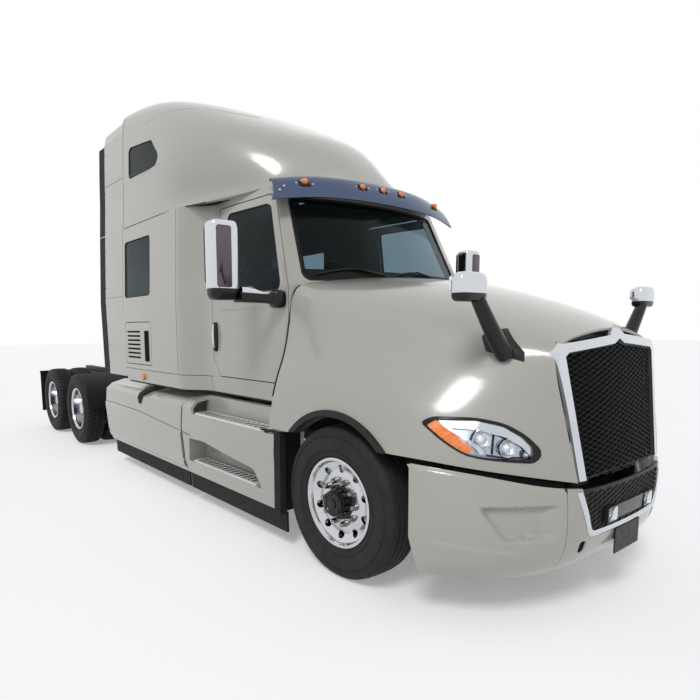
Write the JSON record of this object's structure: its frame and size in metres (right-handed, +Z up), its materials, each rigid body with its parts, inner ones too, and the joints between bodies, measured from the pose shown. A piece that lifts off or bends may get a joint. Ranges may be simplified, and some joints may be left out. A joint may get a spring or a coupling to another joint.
{
  "type": "semi truck tractor unit",
  "caption": "Road tractor with a long sloping hood, tall sleeper cab with roof fairing, chassis fairings, twin driven axles and a fifth wheel coupling.",
  "frame": {"origin": "on the ground, at the middle of the vehicle's length and width", "axes": "+X forward, +Y to the vehicle's left, +Z up"},
  "size_m": [8.9013, 3.144, 4.0132],
  "materials": {
    "body_paint": "gloss",
    "frame_paint": "satin",
    "engine_iron": "matte",
    "radiator_fins": "matte",
    "polished_aluminium": "polished",
    "tyre_rubber": "matte",
    "tinted_glass": "gloss",
    "chrome_trim": "polished",
    "black_plastic": "matte",
    "black_rubber": "matte",
    "lamp_glass": "gloss",
    "amber_lens": "gloss",
    "seat_fabric": "matte",
    "cab_trim": "matte"
  },
  "bodies": {
    "chassis": {"cab_shell": "body_paint", "roof_fairing": "body_paint", "side_extenders": "body_paint", "bumper": "body_paint", "rear_fairings": "body_paint", "step_fairings": "body_paint", "frame": "frame_paint", "front_axle": "frame_paint", "drive_axles": "frame_paint", "fifth_wheel_base": "frame_paint", "engine": "engine_iron", "radiator": "radiator_fins", "tanks": "polished_aluminium", "step_treads": "polished_aluminium", "deck_plate": "polished_aluminium", "windscreen": "tinted_glass", "sleeper_windows": "tinted_glass", "visor": "chrome_trim", "lower_grille": "black_plastic", "plate_bracket": "black_plastic", "mudguards": "black_plastic", "dashboard": "black_plastic", "rubber_skirts": "black_rubber", "fog_lamps": "lamp_glass", "marker_lamps": "amber_lens", "seats": "seat_fabric", "bunk": "seat_fabric", "cab_furniture": "cab_trim"},
    "hood": {"hood_shell": "body_paint", "headlamps": "lamp_glass", "arch_trims": "black_plastic", "grille_surround": "chrome_trim", "grille_mesh": "black_plastic", "hood_mirrors": "chrome_trim"},
    "steering_wheel": {"steering_wheel": "black_plastic"},
    "coupling_plate": {"fifth_wheel_plate": "frame_paint"},
    "door_right": {"door_panel_right": "body_paint", "door_glass_right": "tinted_glass", "door_fittings_right": "chrome_trim"},
    "hatch_right": {"hatch_right": "body_paint"},
    "knuckle_right": {"knuckle_right": "frame_paint"},
    "front_wheel_right": {"front_tyre_right": "tyre_rubber", "front_rim_right": "polished_aluminium"},
    "twin_wheel_first_right": {"twin_tyres_first_right": "tyre_rubber", "twin_rims_first_right": "polished_aluminium"},
    "twin_wheel_second_right": {"twin_tyres_second_right": "tyre_rubber", "twin_rims_second_right": "polished_aluminium"},
    "door_left": {"door_panel_left": "body_paint", "door_glass_left": "tinted_glass", "door_fittings_left": "chrome_trim"},
    "hatch_left": {"hatch_left": "body_paint"},
    "knuckle_left": {"knuckle_left": "frame_paint"},
    "front_wheel_left": {"front_tyre_left": "tyre_rubber", "front_rim_left": "polished_aluminium"},
    "twin_wheel_first_left": {"twin_tyres_first_left": "tyre_rubber", "twin_rims_first_left": "polished_aluminium"},
    "twin_wheel_second_left": {"twin_tyres_second_left": "tyre_rubber", "twin_rims_second_left": "polished_aluminium"}
  },
  "joints": [
    {"name": "hood_tilt", "type": "hinge", "parent": "chassis", "child": "hood", "pos_m": [4.36, 0, 0.45], "axis": [0, 1, 0], "range_deg": [0, 75]},
    {"name": "steering_wheel_turn", "type": "hinge", "parent": "chassis", "child": "steering_wheel", "pos_m": [1.84, 0.48, 1.84], "axis": [-0.6157, 0, 0.788], "range_deg": [-640, 640]},
    {"name": "steer_right", "type": "hinge", "parent": "chassis", "child": "knuckle_right", "pos_m": [3.16, -0.89, 0.506], "axis": [0, 0, 1], "range_deg": [-40, 40]},
    {"name": "front_wheel_spin_right", "type": "hinge", "parent": "knuckle_right", "child": "front_wheel_right", "pos_m": [3.16, -1.047, 0.506], "axis": [0, 1, 0], "continuous": true},
    {"name": "door_hinge_right", "type": "hinge", "parent": "chassis", "child": "door_right", "pos_m": [2.48, -1.046, 1.9], "axis": [0, 0, 1], "range_deg": [0, 70]},
    {"name": "hatch_hinge_right", "type": "hinge", "parent": "chassis", "child": "hatch_right", "pos_m": [-0.332, -1.204, 1.49], "axis": [0, 0, -1], "range_deg": [0, 90]},
    {"name": "twin_wheel_spin_first_right", "type": "hinge", "parent": "chassis", "child": "twin_wheel_first_right", "pos_m": [-2.39, -0.92, 0.506], "axis": [0, 1, 0], "continuous": true},
    {"name": "twin_wheel_spin_second_right", "type": "hinge", "parent": "chassis", "child": "twin_wheel_second_right", "pos_m": [-3.711, -0.92, 0.506], "axis": [0, 1, 0], "continuous": true},
    {"name": "steer_left", "type": "hinge", "parent": "chassis", "child": "knuckle_left", "pos_m": [3.16, 0.89, 0.506], "axis": [0, 0, 1], "range_deg": [-40, 40]},
    {"name": "front_wheel_spin_left", "type": "hinge", "parent": "knuckle_left", "child": "front_wheel_left", "pos_m": [3.16, 1.047, 0.506], "axis": [0, 1, 0], "continuous": true},
    {"name": "door_hinge_left", "type": "hinge", "parent": "chassis", "child": "door_left", "pos_m": [2.48, 1.046, 1.9], "axis": [0, 0, -1], "range_deg": [0, 70]},
    {"name": "hatch_hinge_left", "type": "hinge", "parent": "chassis", "child": "hatch_left", "pos_m": [-0.332, 1.204, 1.49], "axis": [0, 0, 1], "range_deg": [0, 90]},
    {"name": "twin_wheel_spin_first_left", "type": "hinge", "parent": "chassis", "child": "twin_wheel_first_left", "pos_m": [-2.39, 0.92, 0.506], "axis": [0, 1, 0], "continuous": true},
    {"name": "twin_wheel_spin_second_left", "type": "hinge", "parent": "chassis", "child": "twin_wheel_second_left", "pos_m": [-3.711, 0.92, 0.506], "axis": [0, 1, 0], "continuous": true},
    {"name": "coupling_plate_rock", "type": "hinge", "parent": "chassis", "child": "coupling_plate", "pos_m": [-2.79, 0, 1.128], "axis": [0, 1, 0], "range_deg": [-12, 12]}
  ],
  "couplings": [
    {"joint": "steer_left", "follows": "steer_right", "ratio": 1},
    {"joint": "steering_wheel_turn", "follows": "steer_right", "ratio": 16}
  ]
}
